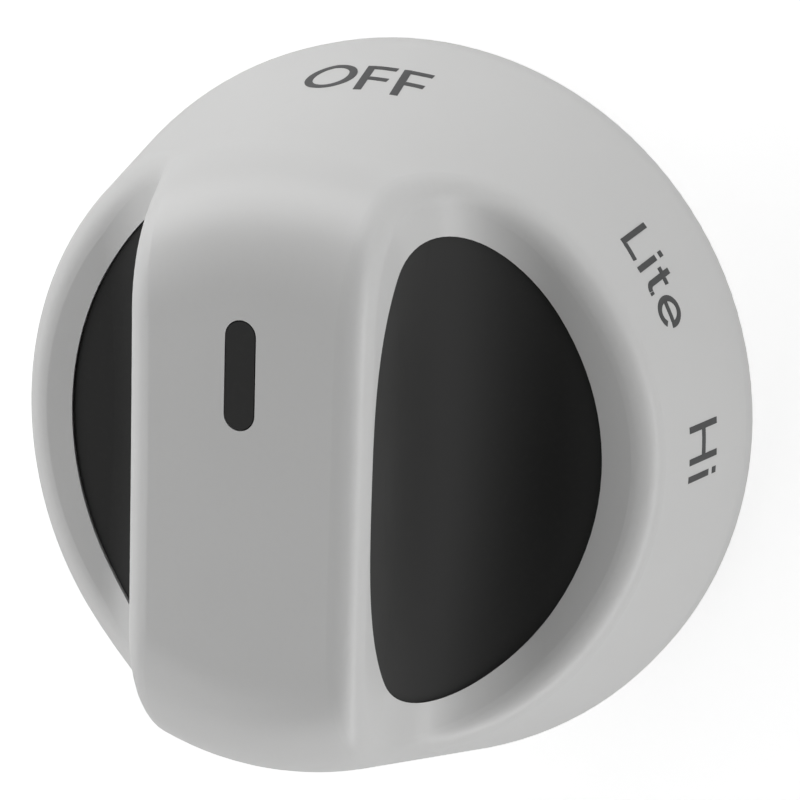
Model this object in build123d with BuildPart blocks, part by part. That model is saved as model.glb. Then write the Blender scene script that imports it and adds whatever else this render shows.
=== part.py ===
from build123d import *
import os
from math import asin, cos, degrees, radians, tan

# Stove knob, in millimetres. The knob stands on its rim with the grip bar up: +Z is the axis of the valve
# stem, +Y points from the middle of the face to the OFF mark, and the bar runs along Y.

# Outer form of the shell
rim_radius = 25.4
rim_land = 2.4
rim_round = 0.5
land_round = 4.0
knob_height = 27.9
shoulder_radius = 18.6
crown_radius = 8.7

# Grip bar and finger scoops
bar_width = 15.9
wall_draft = 1.0
scoop_depth = 14.1
floor_rise = 2.0
cove_radius = 7.5
scoop_sweep = 55.0
lip_round = 1.9

# Inside of the shell, where the dark core seats and shows through the windows
rim_wall = 2.4
window_radius = 18.85
window_draft = 6.5
window_knee_round = 10.0
cap_land = 0.15
inner_crown_radius = 11.0

# Index mark in the face
index_length = 6.7
index_width = 1.9
index_centre = 7.0
index_root = 0.8

# Dark core behind the windows
seat_gap = 0.08
well_recess = 0.2
core_foot = 1.8
core_wall = 2.0

# Snap catches that hold the core in the shell
catch_count = 4
catch_arc = 22.0
catch_depth = 0.5
catch_height = 1.2
catch_root = 0.5

# Hub, stem socket and ribs
stem_radius = 4.0
stem_flat = 2.5
stem_gap = 0.1
hub_wall = 1.9
hub_mouth = 2.4
lead_in_gap = 0.4
lead_in_length = 4.4
lead_in_chamfer = 0.4
socket_depth = 17.0
rib_count = 4
rib_thickness = 1.5
rib_foot = 4.0
rib_start = 45.0

# Spring leaf in a pocket of the socket's flat
clip_width = 4.4
clip_thickness = 0.4
clip_corner = 0.6
clip_bow = 0.75
clip_press = 0.05
clip_side_gap = 0.15
clip_end_gap = 0.2
clip_back_gap = 0.02
pocket_sill = 1.2
pocket_length = 9.6

# Spare length by which a cutting solid runs past what it cuts
cut_margin = 2.0

# Places worked out from the sizes above
bar_half = bar_width / 2
well_floor = knob_height - scoop_depth
sweep_axis = Axis((0, 0, well_floor + scoop_sweep), (1, 0, 0))
sweep_half = degrees(asin(rim_radius / (scoop_sweep - scoop_depth - cut_margin)))
cap_thickness = lip_round + cap_land
cap_underside = knob_height - cap_thickness
seat_foot_radius = rim_radius - rim_wall
core_top = cap_underside - seat_gap
index_foot = core_top - index_root
socket_radius = stem_radius + stem_gap
socket_flat = stem_flat + stem_gap
lead_in_radius = stem_radius + lead_in_gap
socket_shelf = hub_mouth + lead_in_length
socket_end = hub_mouth + socket_depth
hub_radius = lead_in_radius + hub_wall
pocket_floor = socket_shelf + pocket_sill
clip_crest = stem_flat - clip_press
clip_back = clip_crest + clip_thickness + clip_bow
pocket_back = clip_back + clip_back_gap
clip_foot = pocket_floor + clip_end_gap
clip_length = pocket_length - 2 * clip_end_gap
catch_top = core_foot - seat_gap
catch_foot = catch_top - catch_height
catch_start = rib_start - catch_arc / 2
hollow_corner = inner_crown_radius - core_wall


def seat_radius(height, inset=0.0):
    """Radius of the shell's inner wall at a height, less an inset measured across the axis."""
    if height > well_floor:
        return window_radius - (height - well_floor) * tan(radians(window_draft)) - inset
    return seat_foot_radius - (seat_foot_radius - window_radius) * height / well_floor - inset


def inner_form(foot, top, inset, corner):
    """Half section of a form that follows the inside of the shell."""
    with BuildSketch(Plane.XZ) as section:
        with BuildLine():
            FilletPolyline(
                (0, foot),
                (seat_radius(foot, inset), foot),
                (seat_radius(well_floor, inset), well_floor),
                (seat_radius(top, inset), top),
                (0, top),
                radius=[0, window_knee_round, corner],
            )
            Line((0, top), (0, foot))
        make_face()
    return section.sketch


def finger_scoops(growth):
    """Section of both finger scoops at the start of their sweep, grown by a distance into the material."""
    wall_tan = tan(radians(wall_draft))
    rise_tan = tan(radians(floor_rise))
    wall_base = bar_half - growth / cos(radians(wall_draft)) + knob_height * wall_tan
    floor_base = well_floor - growth / cos(radians(floor_rise)) - window_radius * rise_tan
    foot_x = (wall_base - floor_base * wall_tan) / (1 + wall_tan * rise_tan)
    foot_z = floor_base + foot_x * rise_tan
    reach = rim_radius + cut_margin
    top = knob_height + cut_margin
    with BuildSketch(Plane.XZ) as section:
        with BuildLine():
            FilletPolyline(
                (wall_base - top * wall_tan, top),
                (foot_x, foot_z),
                (reach, floor_base + reach * rise_tan),
                radius=[cove_radius + growth],
            )
            Polyline(
                (reach, floor_base + reach * rise_tan),
                (reach, top),
                (wall_base - top * wall_tan, top),
            )
        make_face()
        mirror(about=Plane.YZ)
    return section.sketch.rotate(sweep_axis, -sweep_half)


def index_outline(height, margin):
    """Rounded outline of the index mark at a height, widened all round by a margin."""
    with BuildSketch(Plane.XY.offset(height)) as outline:
        with Locations((0, index_centre)):
            SlotOverall(index_length + 2 * margin, index_width + 2 * margin, rotation=90)
    return outline.sketch


# One snap catch, a wedge that roots in the shell's inner wall
with BuildPart() as snap_catch:
    with BuildSketch(Plane.XZ):
        with BuildLine():
            Polyline(
                (seat_radius(catch_top, -catch_root), catch_top),
                (seat_radius(catch_top, catch_depth), catch_top),
                (seat_radius(catch_foot), catch_foot),
                (seat_radius(catch_foot, -catch_root), catch_foot),
                close=True,
            )
        make_face()
    revolve(axis=Axis.Z, revolution_arc=catch_arc)

# Pale shell: one turned form, two scoops with one rounded lip all the way round each, hollow from behind
with BuildPart() as outer_shell:
    with BuildSketch(Plane.XZ):
        with BuildLine():
            FilletPolyline(
                (0, 0),
                (rim_radius, 0),
                (rim_radius, rim_land),
                (shoulder_radius, knob_height),
                (0, knob_height),
                radius=[rim_round, land_round, crown_radius],
            )
            Line((0, knob_height), (0, 0))
        make_face()
    revolve(axis=Axis.Z)
    revolve(finger_scoops(0), axis=sweep_axis, revolution_arc=2 * sweep_half, mode=Mode.SUBTRACT)
    fillet(outer_shell.edges(Select.LAST).filter_by(GeomType.CIRCLE, reverse=True), radius=lip_round)
    revolve(inner_form(0, cap_underside, 0, inner_crown_radius), axis=Axis.Z, mode=Mode.SUBTRACT)
    extrude(index_outline(index_foot, seat_gap), amount=knob_height - index_foot, mode=Mode.SUBTRACT)
    with PolarLocations(0, catch_count, start_angle=catch_start):
        add(snap_catch.part)

# Hollow behind the dark core, with the hub and the ribs left standing in it
with BuildPart() as core_hollow:
    revolve(inner_form(core_foot, core_top - core_wall, seat_gap + core_wall, hollow_corner), axis=Axis.Z)
    revolve(finger_scoops(well_recess + core_wall), axis=sweep_axis, revolution_arc=2 * sweep_half, mode=Mode.SUBTRACT)
    with BuildSketch(Plane.XY.offset(hub_mouth)):
        Circle(hub_radius)
    extrude(amount=knob_height, mode=Mode.SUBTRACT)
    with BuildSketch(Plane.XY.offset(rib_foot)):
        with PolarLocations(0, rib_count, start_angle=rib_start):
            Rectangle(rim_radius, rib_thickness, align=(Align.MIN, Align.CENTER))
    extrude(amount=knob_height, mode=Mode.SUBTRACT)

# Dark core: the finger wells, the sides of the grip bar, the index lug and the stem socket
with BuildPart() as finger_well_core:
    revolve(inner_form(core_foot, core_top, seat_gap, inner_crown_radius), axis=Axis.Z)
    revolve(finger_scoops(well_recess), axis=sweep_axis, revolution_arc=2 * sweep_half, mode=Mode.SUBTRACT)
    extrude(index_outline(index_foot, 0), amount=knob_height - index_foot)
    add(core_hollow.part, mode=Mode.SUBTRACT)
    with BuildSketch(Plane.XY.offset(socket_shelf)):
        Circle(socket_radius)
        with Locations((0, -socket_flat)):
            Rectangle(2 * socket_radius, socket_radius, align=(Align.CENTER, Align.MAX), mode=Mode.SUBTRACT)
    extrude(amount=socket_end - socket_shelf, mode=Mode.SUBTRACT)
    with BuildSketch(Plane.XY.offset(pocket_floor)):
        with Locations((0, -pocket_back)):
            Rectangle(clip_width + 2 * clip_side_gap, pocket_back, align=(Align.CENTER, Align.MIN))
    extrude(amount=pocket_length, mode=Mode.SUBTRACT)
    with BuildSketch(Plane.XY.offset(hub_mouth)):
        Circle(lead_in_radius)
    extrude(amount=lead_in_length, mode=Mode.SUBTRACT)
    chamfer(finger_well_core.edges(Select.LAST).group_by(Axis.Z)[0], length=lead_in_chamfer)

# Spring leaf, bowed towards the flat of the stem
with BuildPart() as stem_clip:
    with BuildSketch(Plane.YZ):
        with BuildLine():
            stem_side = ThreePointArc(
                (-clip_back + clip_thickness, clip_foot),
                (-clip_crest, clip_foot + clip_length / 2),
                (-clip_back + clip_thickness, clip_foot + clip_length),
            )
            wall_side = ThreePointArc(
                (-clip_back, clip_foot),
                (-clip_crest - clip_thickness, clip_foot + clip_length / 2),
                (-clip_back, clip_foot + clip_length),
            )
            Line(stem_side @ 0, wall_side @ 0)
            Line(stem_side @ 1, wall_side @ 1)
        make_face()
    extrude(amount=clip_width / 2, both=True)
    fillet(stem_clip.edges().filter_by(Axis.Y), radius=clip_corner)

outer_shell.part.label = "outer_shell"
finger_well_core.part.label = "finger_well_core"
stem_clip.part.label = "stem_clip"

os.makedirs("parts", exist_ok=True)
export_step(outer_shell.part, "parts/outer_shell.step")
export_step(finger_well_core.part, "parts/finger_well_core.step")
export_step(stem_clip.part, "parts/stem_clip.step")
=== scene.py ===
from math import atan2, cos, degrees, radians, sin, tan
import bpy
from mathutils import Matrix, Vector


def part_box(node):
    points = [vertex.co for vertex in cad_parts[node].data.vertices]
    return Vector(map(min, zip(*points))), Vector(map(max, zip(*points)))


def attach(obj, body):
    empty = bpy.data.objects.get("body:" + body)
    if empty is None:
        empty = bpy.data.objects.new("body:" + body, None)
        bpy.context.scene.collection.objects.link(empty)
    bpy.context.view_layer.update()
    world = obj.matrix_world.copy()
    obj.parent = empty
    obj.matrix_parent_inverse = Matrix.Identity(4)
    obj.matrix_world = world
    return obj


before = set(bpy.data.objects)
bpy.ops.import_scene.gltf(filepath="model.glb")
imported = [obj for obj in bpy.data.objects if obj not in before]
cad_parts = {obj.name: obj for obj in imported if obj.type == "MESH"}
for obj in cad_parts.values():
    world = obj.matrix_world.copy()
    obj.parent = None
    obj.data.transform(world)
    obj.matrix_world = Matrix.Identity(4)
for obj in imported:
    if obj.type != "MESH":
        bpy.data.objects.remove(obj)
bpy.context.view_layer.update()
mm = 0.001
white = (1, 1, 1, 1)
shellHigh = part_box("outer_shell")[1]
print("frame loaded:", sorted(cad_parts))


def deselectAll():
    for item in bpy.context.selected_objects:
        item.select_set(False)


# Shader helpers
def setInputs(node, values):
    for name, value in values.items():
        node.inputs[name].default_value = value
    return node


def addNode(tree, kind, place, values=None, **settings):
    node = tree.nodes.new(kind)
    node.location = place
    for name, setting in settings.items():
        setattr(node, name, setting)
    return setInputs(node, values or {})


def addRange(tree, place, source=(0, 1), target=(0, 1), **settings):
    values = {"From Min": source[0], "From Max": source[1], "To Min": target[0], "To Max": target[1]}
    return addNode(tree, "ShaderNodeMapRange", place, values, **settings)


def addGain(tree, place, gain):
    return addNode(tree, "ShaderNodeMath", place, {1: gain}, operation="MULTIPLY_ADD")


def addTone(tree, place, **colours):
    return addNode(tree, "ShaderNodeMix", place, colours, data_type="RGBA")


def newGroup(name, inputs, outputs):
    group = bpy.data.node_groups.new(name, "ShaderNodeTree")
    for label, start in inputs.items():
        socket = group.interface.new_socket(label, in_out="INPUT", socket_type="NodeSocketFloat")
        socket.default_value = start
    for label in outputs:
        group.interface.new_socket(label, in_out="OUTPUT", socket_type="NodeSocketFloat")
    entry = addNode(group, "NodeGroupInput", (-1100, 0))
    result = addNode(group, "NodeGroupOutput", (500, 0))
    return group, entry, result


def newMaterial(name):
    material = bpy.data.materials.new(name)
    material.use_nodes = True
    tree = material.node_tree
    return material, tree, tree.nodes["Principled BSDF"]


# Moulded grain: the fine spark texture of the tool, and the slow waves that moulding leaves
grainForm = {
    "inputs": {"grainScale": 4000.0, "waveScale": 120.0, "waveShare": 0.3},
    "fineDetail": 3.0,
    "waveDetail": 2.0,
}


def makeMouldedGrain():
    group, entry, result = newGroup("mouldedGrain", grainForm["inputs"], ["height", "cloud"])
    where = addNode(group, "ShaderNodeTexCoord", (-850, 0))
    fine = addNode(group, "ShaderNodeTexNoise", (-500, 150), {"Detail": grainForm["fineDetail"]})
    wave = addNode(group, "ShaderNodeTexNoise", (-500, -150), {"Detail": grainForm["waveDetail"]})
    blend = addNode(group, "ShaderNodeMix", (-200, 50))
    link = group.links.new
    link(where.outputs["Object"], fine.inputs["Vector"])
    link(where.outputs["Object"], wave.inputs["Vector"])
    link(entry.outputs["grainScale"], fine.inputs["Scale"])
    link(entry.outputs["waveScale"], wave.inputs["Scale"])
    link(entry.outputs["waveShare"], blend.inputs["Factor"])
    link(fine.outputs["Fac"], blend.inputs["A"])
    link(wave.outputs["Fac"], blend.inputs["B"])
    link(blend.outputs["Result"], result.inputs["height"])
    link(wave.outputs["Fac"], result.inputs["cloud"])
    return group


# Hand polish and painted light: where thumb and finger close on the grip bar, a little uneven; the same
# mask paints light onto the dark well wall beside the bar
polishAndPaintedLightForm = {
    "inputs": {"barHalf": 8.0 * mm, "spread": 2.0 * mm, "low": 17.0 * mm, "high": 25.0 * mm},
    "patch": {"Scale": 160.0, "Detail": 2.0},
    "patchRange": (0.3, 0.7),
    "patchShare": (0.42, 0.58),
}


def makeHandPolishAndPaintedLight():
    group, entry, result = newGroup("handPolishAndPaintedLight", polishAndPaintedLightForm["inputs"], ["touched"])
    where = addNode(group, "ShaderNodeTexCoord", (-1100, 250))
    split = addNode(group, "ShaderNodeSeparateXYZ", (-900, 250))
    across = addNode(group, "ShaderNodeMath", (-700, 350), operation="ABSOLUTE")
    beside = addNode(group, "ShaderNodeMath", (-540, 350), operation="SUBTRACT")
    away = addNode(group, "ShaderNodeMath", (-380, 350), operation="ABSOLUTE")
    near = addRange(group, (-200, 350), target=(1, 0), interpolation_type="SMOOTHSTEP")
    raised = addRange(group, (-400, 100), interpolation_type="SMOOTHSTEP")
    patch = addNode(group, "ShaderNodeTexNoise", (-400, -200), polishAndPaintedLightForm["patch"])
    share = addRange(group, (-200, -100), polishAndPaintedLightForm["patchRange"], polishAndPaintedLightForm["patchShare"])
    both = addNode(group, "ShaderNodeMath", (0, 250), operation="MULTIPLY")
    uneven = addNode(group, "ShaderNodeMath", (200, 100), operation="MULTIPLY")
    link = group.links.new
    link(where.outputs["Object"], split.inputs[0])
    link(where.outputs["Object"], patch.inputs["Vector"])
    link(split.outputs["X"], across.inputs[0])
    link(across.outputs[0], beside.inputs[0])
    link(entry.outputs["barHalf"], beside.inputs[1])
    link(beside.outputs[0], away.inputs[0])
    link(away.outputs[0], near.inputs["Value"])
    link(entry.outputs["spread"], near.inputs["From Max"])
    link(split.outputs["Z"], raised.inputs["Value"])
    link(entry.outputs["low"], raised.inputs["From Min"])
    link(entry.outputs["high"], raised.inputs["From Max"])
    link(near.outputs["Result"], both.inputs[0])
    link(raised.outputs["Result"], both.inputs[1])
    link(both.outputs[0], uneven.inputs[0])
    link(patch.outputs["Fac"], share.inputs["Value"])
    link(share.outputs["Result"], uneven.inputs[1])
    link(uneven.outputs[0], result.inputs["touched"])
    return group


# Fine scratches: thin broken hairlines from wiping, in two directions
scratchForm = {
    "inputs": {"scale": 900.0},
    "turns": (0.5, -0.9),
    "stretch": (1, 0.035, 1),
    "hairDetail": 1.0,
    "hairRange": (0.69, 0.74),
    "breaks": {"Scale": 150.0, "Detail": 2.0},
    "breakRange": (0.48, 0.62),
}


def makeFineScratches():
    group, entry, result = newGroup("fineScratches", scratchForm["inputs"], ["scratch"])
    where = addNode(group, "ShaderNodeTexCoord", (-1100, 250))
    either = addNode(group, "ShaderNodeMath", (-150, 100), operation="MAXIMUM")
    link = group.links.new
    for line, turn in enumerate(scratchForm["turns"]):
        row = 250 - 400 * line
        values = {"Rotation": (0, 0, turn), "Scale": scratchForm["stretch"]}
        stretch = addNode(group, "ShaderNodeMapping", (-850, row), values)
        hair = addNode(group, "ShaderNodeTexNoise", (-600, row), {"Detail": scratchForm["hairDetail"]})
        thin = addRange(group, (-400, row), scratchForm["hairRange"])
        link(where.outputs["Object"], stretch.inputs["Vector"])
        link(stretch.outputs[0], hair.inputs["Vector"])
        link(entry.outputs["scale"], hair.inputs["Scale"])
        link(hair.outputs["Fac"], thin.inputs["Value"])
        link(thin.outputs["Result"], either.inputs[line])
    breaks = addNode(group, "ShaderNodeTexNoise", (-400, -450), scratchForm["breaks"])
    gate = addRange(group, (-150, -300), scratchForm["breakRange"])
    kept = addNode(group, "ShaderNodeMath", (150, 50), operation="MULTIPLY")
    link(where.outputs["Object"], breaks.inputs["Vector"])
    link(breaks.outputs["Fac"], gate.inputs["Value"])
    link(either.outputs[0], kept.inputs[0])
    link(gate.outputs["Result"], kept.inputs[1])
    link(kept.outputs[0], result.inputs["scratch"])
    return group


# Settled dust: a little on what faces up, finely speckled
dustForm = {
    "inputs": {"speckle": 2600.0},
    "upwardRange": (0.7, 1.0),
    "gritDetail": 4.0,
    "gritRange": (0.5, 0.75),
}


def makeSettledDust():
    group, entry, result = newGroup("settledDust", dustForm["inputs"], ["dust"])
    where = addNode(group, "ShaderNodeTexCoord", (-900, 200))
    shape = addNode(group, "ShaderNodeNewGeometry", (-900, -100))
    split = addNode(group, "ShaderNodeSeparateXYZ", (-700, -100))
    upward = addRange(group, (-500, -100), dustForm["upwardRange"], interpolation_type="SMOOTHSTEP")
    grit = addNode(group, "ShaderNodeTexNoise", (-700, 200), {"Detail": dustForm["gritDetail"]})
    spots = addRange(group, (-450, 200), dustForm["gritRange"])
    both = addNode(group, "ShaderNodeMath", (-200, 50), operation="MULTIPLY")
    link = group.links.new
    link(where.outputs["Object"], grit.inputs["Vector"])
    link(entry.outputs["speckle"], grit.inputs["Scale"])
    link(grit.outputs["Fac"], spots.inputs["Value"])
    link(shape.outputs["Normal"], split.inputs[0])
    link(split.outputs["Z"], upward.inputs["Value"])
    link(spots.outputs["Result"], both.inputs[0])
    link(upward.outputs["Result"], both.inputs[1])
    link(both.outputs[0], result.inputs["dust"])
    return group


mouldedGrain = makeMouldedGrain()
handPolishAndPaintedLight = makeHandPolishAndPaintedLight()
fineScratches = makeFineScratches()
settledDust = makeSettledDust()


# Moulded plastic: cloudy, a little dusty, smoother where fingers rub it and lighter there as painted
# light, with hairlines and grain
def makePlastic(name, look):
    material, tree, bsdf = newMaterial(name)
    grain = addNode(tree, "ShaderNodeGroup", (-1300, 200), node_tree=mouldedGrain)
    handsAndPaintedLight = addNode(tree, "ShaderNodeGroup", (-1300, -50), node_tree=handPolishAndPaintedLight)
    hairs = addNode(tree, "ShaderNodeGroup", (-1300, -300), node_tree=fineScratches)
    settled = addNode(tree, "ShaderNodeGroup", (-1300, -450), node_tree=settledDust)
    setInputs(grain, look["grain"])
    setInputs(handsAndPaintedLight, look["handsAndPaintedLight"])
    tone = addTone(tree, (-1000, 350), A=look["shade"], B=look["pale"])
    veil = addNode(tree, "ShaderNodeMath", (-1000, 100), {1: look["dustShare"]}, operation="MULTIPLY")
    dusted = addTone(tree, (-700, 300), B=look["dust"])
    # painted light: the hand mask mixes in a lighter tone beside the grip bar, strongly on the dark core's
    # well wall and barely on the shell
    wearAndPaintedLight = addTone(tree, (-400, 300), B=look["wearAndPaintedLight"])
    sheen = addRange(tree, (-1000, -50), target=look["roughness"])
    rubbed = addGain(tree, (-800, -100), -look["polish"])
    scuffed = addGain(tree, (-600, -150), look["scuff"])
    relief = addGain(tree, (-800, -400), -look["scratchDepth"])
    bump = addNode(tree, "ShaderNodeBump", (-500, -400), look["bump"])
    bsdf.inputs["Specular IOR Level"].default_value = look["specular"]
    link = tree.links.new
    link(grain.outputs["cloud"], tone.inputs["Factor"])
    link(grain.outputs["cloud"], sheen.inputs["Value"])
    link(settled.outputs["dust"], veil.inputs[0])
    link(veil.outputs[0], dusted.inputs["Factor"])
    link(tone.outputs["Result"], dusted.inputs["A"])
    link(handsAndPaintedLight.outputs["touched"], rubbed.inputs[0])
    link(sheen.outputs["Result"], rubbed.inputs[2])
    link(hairs.outputs["scratch"], scuffed.inputs[0])
    link(rubbed.outputs[0], scuffed.inputs[2])
    link(hairs.outputs["scratch"], relief.inputs[0])
    link(grain.outputs["height"], relief.inputs[2])
    link(relief.outputs[0], bump.inputs["Height"])
    link(dusted.outputs["Result"], wearAndPaintedLight.inputs["A"])
    link(handsAndPaintedLight.outputs["touched"], wearAndPaintedLight.inputs["Factor"])
    link(wearAndPaintedLight.outputs["Result"], bsdf.inputs["Base Color"])
    link(scuffed.outputs[0], bsdf.inputs["Roughness"])
    link(bump.outputs["Normal"], bsdf.inputs["Normal"])
    return material


shellLook = {
    "pale": (0.635, 0.635, 0.63, 1),
    "shade": (0.605, 0.605, 0.6, 1),
    "dust": (0.5, 0.49, 0.47, 1),
    "dustShare": 0.05,
    "wearAndPaintedLight": (0.64, 0.64, 0.637, 1),
    "specular": 0.5,
    "roughness": (0.3, 0.37),
    "polish": 0.02,
    "scuff": 0.05,
    "scratchDepth": 0.1,
    "grain": {"grainScale": 5000.0, "waveScale": 90.0},
    "handsAndPaintedLight": {"barHalf": 7.2 * mm, "spread": 1.8 * mm, "low": 18.0 * mm, "high": 26.0 * mm},
    "bump": {"Strength": 0.04, "Distance": 0.02 * mm},
}
shellPlastic = makePlastic("shellPlastic", shellLook)

coreLook = {
    "pale": (0.03, 0.03, 0.0295, 1),
    "shade": (0.024, 0.024, 0.0236, 1),
    "dust": (0.16, 0.155, 0.15, 1),
    "dustShare": 0.02,
    # painted light: more than twice as light as the core, laid on the well wall beside the grip bar
    "wearAndPaintedLight": (0.07, 0.07, 0.069, 1),
    "specular": 0.22,
    "roughness": (0.58, 0.7),
    "polish": 0.08,
    "scuff": 0.06,
    "scratchDepth": 0.2,
    "grain": {"grainScale": 3500.0, "waveScale": 110.0},
    "handsAndPaintedLight": {"barHalf": 7.9 * mm, "spread": 1.8 * mm, "low": 17.0 * mm, "high": 25.0 * mm},
    "bump": {"Strength": 0.2, "Distance": 0.03 * mm},
}
corePlastic = makePlastic("corePlastic", coreLook)
print("plastics made")

# Spring steel: rolled strip with fine lines along its length and a faint straw tint in patches
clipLook = {
    "bright": (0.56, 0.56, 0.55, 1),
    "straw": (0.5, 0.46, 0.38, 1),
    "roughness": (0.2, 0.38),
    "lineScale": 2500.0,
    "lineStretch": (1, 1, 0.03),
    "patchScale": 420.0,
    "bump": {"Strength": 0.12, "Distance": 0.01 * mm},
}


def makeSpringSteel():
    material, tree, bsdf = newMaterial("springSteel")
    where = addNode(tree, "ShaderNodeTexCoord", (-1200, 0))
    stretch = addNode(tree, "ShaderNodeMapping", (-1000, -150), {"Scale": clipLook["lineStretch"]})
    rolled = addNode(tree, "ShaderNodeTexNoise", (-800, -150), {"Scale": clipLook["lineScale"]})
    patch = addNode(tree, "ShaderNodeTexNoise", (-800, 200), {"Scale": clipLook["patchScale"]})
    tint = addTone(tree, (-500, 250), A=clipLook["bright"], B=clipLook["straw"])
    sheen = addRange(tree, (-500, -50), target=clipLook["roughness"])
    bump = addNode(tree, "ShaderNodeBump", (-500, -350), clipLook["bump"])
    bsdf.inputs["Metallic"].default_value = 1.0
    link = tree.links.new
    link(where.outputs["Object"], stretch.inputs["Vector"])
    link(where.outputs["Object"], patch.inputs["Vector"])
    link(stretch.outputs[0], rolled.inputs["Vector"])
    link(patch.outputs["Fac"], tint.inputs["Factor"])
    link(rolled.outputs["Fac"], sheen.inputs["Value"])
    link(rolled.outputs["Fac"], bump.inputs["Height"])
    link(tint.outputs["Result"], bsdf.inputs["Base Color"])
    link(sheen.outputs["Result"], bsdf.inputs["Roughness"])
    link(bump.outputs["Normal"], bsdf.inputs["Normal"])
    return material


springSteel = makeSpringSteel()

# Printing ink: a thin film, a little uneven in density
inkLook = {
    "dense": (0.045, 0.046, 0.047, 1),
    "thin": (0.085, 0.086, 0.087, 1),
    "roughness": (0.42, 0.58),
    "mottle": {"Scale": 2200.0, "Detail": 3.0},
    "bump": {"Strength": 0.1, "Distance": 0.01 * mm},
}


def makePrintInk():
    material, tree, bsdf = newMaterial("printInk")
    where = addNode(tree, "ShaderNodeTexCoord", (-1000, 0))
    mottle = addNode(tree, "ShaderNodeTexNoise", (-800, 0), inkLook["mottle"])
    tone = addTone(tree, (-500, 250), A=inkLook["dense"], B=inkLook["thin"])
    sheen = addRange(tree, (-500, 0), target=inkLook["roughness"])
    bump = addNode(tree, "ShaderNodeBump", (-500, -300), inkLook["bump"])
    link = tree.links.new
    link(where.outputs["Object"], mottle.inputs["Vector"])
    link(mottle.outputs["Fac"], tone.inputs["Factor"])
    link(mottle.outputs["Fac"], sheen.inputs["Value"])
    link(mottle.outputs["Fac"], bump.inputs["Height"])
    link(tone.outputs["Result"], bsdf.inputs["Base Color"])
    link(sheen.outputs["Result"], bsdf.inputs["Roughness"])
    link(bump.outputs["Normal"], bsdf.inputs["Normal"])
    return material


printInk = makePrintInk()
for node, finish in (
    ("outer_shell", shellPlastic),
    ("finger_well_core", corePlastic),
    ("stem_clip", springSteel),
):
    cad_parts[node].material_slots[0].material = finish
print("spring steel and ink made")

# Letters of even stroke, a capital one unit high: bars by two corners, rings by centre, radii and arc
letterPen = {"stroke": 0.125, "capMiddle": 0.5, "smallHeight": 0.73, "segments": 60}
stroke = letterPen["stroke"]
capMiddle = letterPen["capMiddle"]
small = letterPen["smallHeight"]
stem = ((0, 0), (stroke, 1))
letterForms = {
    "O": {"wide": 0.775, "bars": [], "rings": [((0.3875, capMiddle), (0.3875, 0.5), (0, 360))]},
    "F": {
        "wide": 0.48,
        "bars": [stem, ((stroke, 1 - stroke), (0.48, 1)), ((stroke, 0.43), (0.43, 0.43 + stroke))],
        "rings": [],
    },
    "L": {"wide": 0.5, "bars": [stem, ((stroke, 0), (0.5, stroke))], "rings": []},
    "H": {
        "wide": 0.73,
        "bars": [stem, ((0.73 - stroke, 0), (0.73, 1)), ((stroke, 0.45), (0.73 - stroke, 0.45 + stroke))],
        "rings": [],
    },
    "i": {"wide": stroke, "bars": [((0, 0), (stroke, small)), ((0, 0.865), (stroke, 1))], "rings": []},
    "t": {
        "wide": 0.36,
        "bars": [
            ((0.1, 0.2), (0.1 + stroke, 0.93)),
            ((0, small - stroke), (0.1, small)),
            ((0.1 + stroke, small - stroke), (0.36, small)),
            ((0.3, 0), (0.36, stroke)),
        ],
        "rings": [((0.3, 0.2), (0.2, 0.2), (180, 270))],
    },
    "e": {
        "wide": 0.65,
        "bars": [((stroke, 0.3), (0.65 - stroke, 0.415))],
        "rings": [((0.325, 0.365), (0.325, 0.38), (-10, 318))],
    },
}


def leaned(place, pen, lean):
    return (pen + place[0] - (place[1] - capMiddle) * tan(radians(lean)), place[1], 0)


def addBar(low, high, pen, lean):
    wide, tall = high[0] - low[0], high[1] - low[1]
    bpy.ops.mesh.primitive_plane_add(size=1)
    bar = bpy.context.object
    bar.location = leaned((low[0] + wide / 2, low[1] + tall / 2), pen, lean)
    bar.scale = (wide, tall, 1)
    if tall > wide:
        bar.rotation_euler.z = radians(lean)
    return bar


def addRing(centre, radii, arc, pen, lean):
    bpy.ops.mesh.primitive_circle_add(vertices=letterPen["segments"], radius=1, fill_type="NOTHING")
    ring = bpy.context.object
    bpy.ops.object.mode_set(mode="EDIT")
    bpy.ops.mesh.select_all(action="SELECT")
    bpy.ops.transform.resize(value=(radii[0], radii[1], 1))
    bpy.ops.mesh.extrude_edges_move()
    bpy.ops.transform.resize(value=(1 - stroke / radii[0], 1 - stroke / radii[1], 1))
    bpy.ops.mesh.select_mode(type="FACE")
    bpy.ops.mesh.select_all(action="DESELECT")
    bpy.ops.object.mode_set(mode="OBJECT")
    for face in ring.data.polygons:
        turn = degrees(atan2(face.center.y / radii[1], face.center.x / radii[0]))
        face.select = (turn - arc[0]) % 360 > arc[1] - arc[0]
    flipped = ring.data.polygons[0].normal.z < 0
    bpy.ops.object.mode_set(mode="EDIT")
    bpy.ops.mesh.delete(type="FACE")
    bpy.ops.mesh.select_all(action="SELECT")
    if flipped:
        bpy.ops.mesh.flip_normals()
    bpy.ops.mesh.select_mode(type="VERT")
    bpy.ops.object.mode_set(mode="OBJECT")
    ring.location = leaned(centre, pen, lean)
    return ring


# Setting words on the flank
wordPrint = {
    "cuts": 3,
    "proud": 0.025 * mm,
    "film": 0.05 * mm,
    "words": [
        {
            "name": "settingWordOff",
            "text": "OFF",
            "cap": 4.4 * mm,
            "gap": 0.1,  # a share of the cap height
            "lean": 8.0,
            "angle": 1.0,  # clockwise from the OFF mark to the word's middle
            "height": 9.6 * mm,  # above the rim's back plane
        },
        {
            "name": "settingWordLite",
            "text": "Lite",
            "cap": 3.35 * mm,
            "gap": 0.13,
            "lean": 5.5,
            "angle": 59.5,
            "height": 8.6 * mm,
        },
        {
            "name": "settingWordHi",
            "text": "Hi",
            "cap": 3.5 * mm,
            "gap": 0.21,
            "lean": 2.0,
            "angle": 88.0,
            "height": 7.85 * mm,
        },
    ],
}


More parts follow.
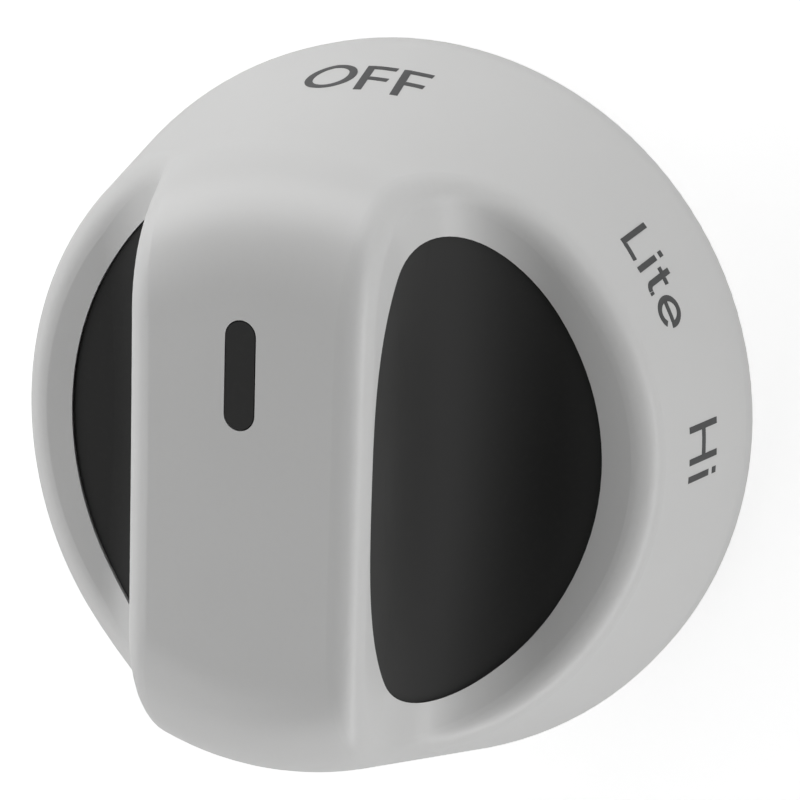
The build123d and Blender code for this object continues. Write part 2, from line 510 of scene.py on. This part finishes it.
def drawWord(word):
    deselectAll()
    strokes = []
    pen = 0.0
    for letter in word["text"]:
        form = letterForms[letter]
        strokes += [addBar(low, high, pen, word["lean"]) for low, high in form["bars"]]
        strokes += [addRing(centre, radii, arc, pen, word["lean"]) for centre, radii, arc in form["rings"]]
        pen += form["wide"] + word["gap"]
    deselectAll()
    for item in strokes:
        item.select_set(True)
    bpy.context.view_layer.objects.active = strokes[0]
    bpy.ops.object.join()
    piece = bpy.context.object
    piece.name = word["name"]
    bpy.ops.object.transform_apply(location=True, rotation=True, scale=True)
    bpy.ops.object.mode_set(mode="EDIT")
    bpy.ops.mesh.select_all(action="SELECT")
    bpy.ops.mesh.subdivide(number_cuts=wordPrint["cuts"])
    bpy.ops.transform.translate(value=((word["gap"] - pen) / 2, -capMiddle, 0))
    bpy.ops.transform.resize(value=(word["cap"], word["cap"], word["cap"]), center_override=(0, 0, 0))
    bpy.ops.object.mode_set(mode="OBJECT")
    return piece


def printWord(word):
    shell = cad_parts["outer_shell"]
    angle = radians(word["angle"])
    outward = Vector((sin(angle), cos(angle), 0))
    reading = Vector((cos(angle), -sin(angle), 0))
    start = outward * shellHigh.x * 2 + Vector((0, 0, word["height"]))
    place, normal = shell.ray_cast(start, -outward)[1:3]
    normal = (normal - reading * normal.dot(reading)).normalized()
    piece = drawWord(word)
    turn = Matrix((reading, normal.cross(reading), normal)).transposed()
    piece.matrix_world = Matrix.Translation(place) @ turn.to_4x4()
    bpy.ops.object.transform_apply(location=True, rotation=True, scale=True)
    wrap = piece.modifiers.new("wrap", "SHRINKWRAP")
    wrap.target = shell
    wrap.wrap_method = "NEAREST_SURFACEPOINT"
    wrap.wrap_mode = "ABOVE_SURFACE"
    wrap.offset = wordPrint["proud"]
    bpy.ops.object.modifier_apply(modifier=wrap.name)
    film = piece.modifiers.new("film", "SOLIDIFY")
    film.thickness = wordPrint["film"]
    film.offset = -1
    bpy.ops.object.modifier_apply(modifier=film.name)
    piece.data.materials.append(printInk)
    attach(piece, "root")
    return piece


for word in wordPrint["words"]:
    piece = printWord(word)
    print("printed", word["name"], len(piece.data.polygons), "faces")

# Floor: pale and matt, lifted to white for the eye alone so that the knob's own shadow stays on it
stageLook = {"size": 3.0, "floor": (0.8, 0.8, 0.8, 1), "roughness": 0.9, "lift": 0.58}


def layFloor():
    deselectAll()
    bpy.ops.mesh.primitive_plane_add(size=stageLook["size"])
    floor = bpy.context.object
    floor.name = "studioFloor"
    material, tree, bsdf = newMaterial("studioFloor")
    look = {"Base Color": stageLook["floor"], "Roughness": stageLook["roughness"], "Emission Color": white}
    setInputs(bsdf, look)
    rays = addNode(tree, "ShaderNodeLightPath", (-600, -200))
    lift = addNode(tree, "ShaderNodeMath", (-300, -200), {1: stageLook["lift"]}, operation="MULTIPLY")
    tree.links.new(rays.outputs["Is Camera Ray"], lift.inputs[0])
    tree.links.new(lift.outputs[0], bsdf.inputs["Emission Strength"])
    floor.data.materials.append(material)


# Room behind the stage: white to the eye, dark to the knob, which only the softboxes light
def makeRoom():
    world = bpy.data.worlds.new("whiteRoom")
    bpy.context.scene.world = world
    world.use_nodes = True
    tree = world.node_tree
    rays = addNode(tree, "ShaderNodeLightPath", (-300, 0))
    background = tree.nodes["Background"]
    background.inputs["Color"].default_value = white
    tree.links.new(rays.outputs["Is Camera Ray"], background.inputs["Strength"])


layFloor()
makeRoom()

# Softboxes in banks: azimuths run clockwise from the OFF mark, wide and high are angles seen from the knob
softboxes = {
    "reach": 600.0 * mm,
    "aim": Vector((0, 0, 12.0 * mm)),
    "banks": {
        "tentWall": {"azimuths": range(0, 360, 45), "elevation": 15, "wide": 45, "high": 30, "glow": 4.0},
        "backLeft": {"azimuths": [337], "elevation": 20, "wide": 90, "high": 40, "glow": 4.3},
        "highLeft": {"azimuths": [247], "elevation": 45, "wide": 90, "high": 20, "glow": 6.3},
        "lowRight": {"azimuths": [124], "elevation": 5, "wide": 90, "high": 10, "glow": 11.5},
    },
}


def addSoftbox(name, bank, azimuth):
    reach = softboxes["reach"]
    turn, tilt = radians(azimuth), radians(bank["elevation"])
    toward = Vector((sin(turn) * cos(tilt), cos(turn) * cos(tilt), sin(tilt)))
    deselectAll()
    bpy.ops.object.light_add(type="AREA", location=softboxes["aim"] + toward * reach)
    lamp = bpy.context.object
    lamp.name = f"{name}.{azimuth}"
    lamp.rotation_euler = toward.to_track_quat("Z", "Y").to_euler()
    lamp.data.shape = "RECTANGLE"
    lamp.data.size = 2 * reach * cos(tilt) * tan(radians(bank["wide"] / 2))
    lamp.data.size_y = 2 * reach * tan(radians(bank["high"] / 2))
    lamp.data.energy = bank["glow"] * lamp.data.size * lamp.data.size_y  # glow is in W/m2
    lamp.visible_camera = False


for name, bank in softboxes["banks"].items():
    for azimuth in bank["azimuths"]:
        addSoftbox(name, bank, azimuth)

# Camera at the photograph's angle: turned about the grip bar, tilted towards the OFF mark, and rolled
view = {
    "turn": 21.85,
    "tilt": 13.55,
    "roll": 1.64,
    "distance": 174.2 * mm,
    "target": Vector((0, 0, 10.16 * mm)),
    "focalPixels": 2592.0,
    "targetPixel": (347.6, 428.0),  # where the target lies in the image
    "imagePixels": 800.0,
    "sensor": 36.0,
    "clipStart": 10.0 * mm,
}


def placeCamera():
    turn, tilt, roll = (radians(view[key]) for key in ("turn", "tilt", "roll"))
    back = Vector((cos(tilt) * sin(turn), sin(tilt), cos(tilt) * cos(turn)))
    level = Vector((cos(turn), 0, -sin(turn)))
    raised = back.cross(level)
    right = level * cos(roll) + raised * sin(roll)
    up = raised * cos(roll) - level * sin(roll)
    half = view["imagePixels"] / 2
    across = half - view["targetPixel"][0]
    down = half - view["targetPixel"][1]
    axis = (back * view["focalPixels"] - right * across + up * down).normalized()
    side = up.cross(axis).normalized()
    deselectAll()
    bpy.ops.object.camera_add(location=view["target"] + back * view["distance"])
    camera = bpy.context.object
    camera.name = "photoCamera"
    camera.rotation_euler = Matrix((side, axis.cross(side), axis)).transposed().to_euler()
    camera.data.sensor_width = view["sensor"]
    camera.data.lens = view["focalPixels"] * view["sensor"] / view["imagePixels"]
    camera.data.clip_start = view["clipStart"]
    bpy.context.scene.camera = camera


placeCamera()
bpy.context.scene.view_settings.view_transform = "Standard"
print("stage, light and camera placed")
